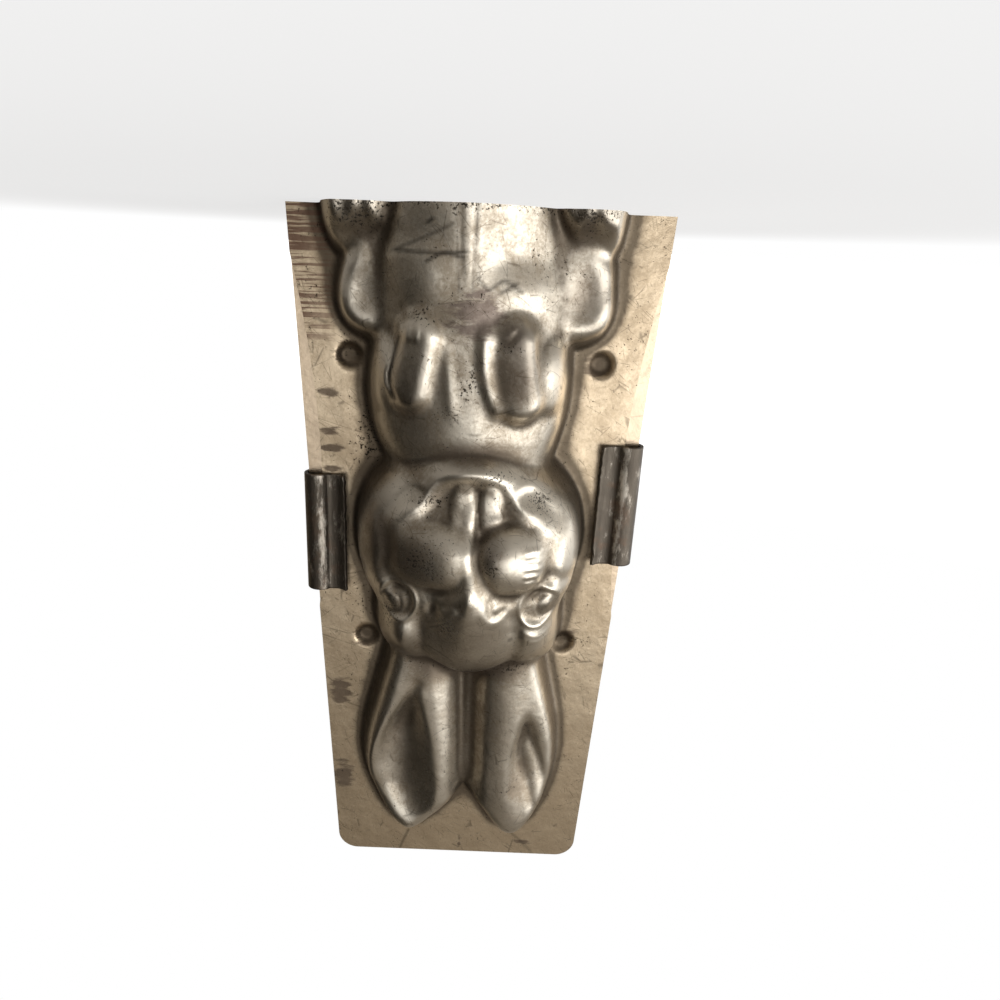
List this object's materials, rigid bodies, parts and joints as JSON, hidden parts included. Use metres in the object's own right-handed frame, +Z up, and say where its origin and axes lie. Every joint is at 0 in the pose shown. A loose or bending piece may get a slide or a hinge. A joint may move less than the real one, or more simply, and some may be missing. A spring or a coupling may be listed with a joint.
{
  "type": "chocolate mould",
  "caption": "Two-piece pressed-metal mould for a hollow standing rabbit, with flat flanges, locating dimples and spring clips that hold the halves together.",
  "frame": {"origin": "middle of the open base, on the plane where the two halves part", "axes": "+Z up from the open base to the ears; the rabbit looks along -Y; +X is the side where the clip sits higher"},
  "size_m": [0.0824, 0.0571, 0.1705],
  "materials": {
    "front_tin": "old tinned steel, tarnished and worn",
    "back_tin": "old tinned steel, cleaner and slightly pink",
    "clip_steel": "blackened spring steel with worn edges"
  },
  "bodies": {
    "mould": {"front_half": "front_tin", "back_half": "back_tin"},
    "clip_right": {"spring_clip_right": "clip_steel"},
    "clip_left": {"spring_clip_left": "clip_steel"}
  },
  "joints": [
    {"name": "right_clip_slide", "type": "slide", "parent": "mould", "child": "clip_right", "axis": [1, 0, 0], "range_m": [0, 0.012]},
    {"name": "left_clip_slide", "type": "slide", "parent": "mould", "child": "clip_left", "axis": [-1, 0, 0], "range_m": [0, 0.012]}
  ]
}
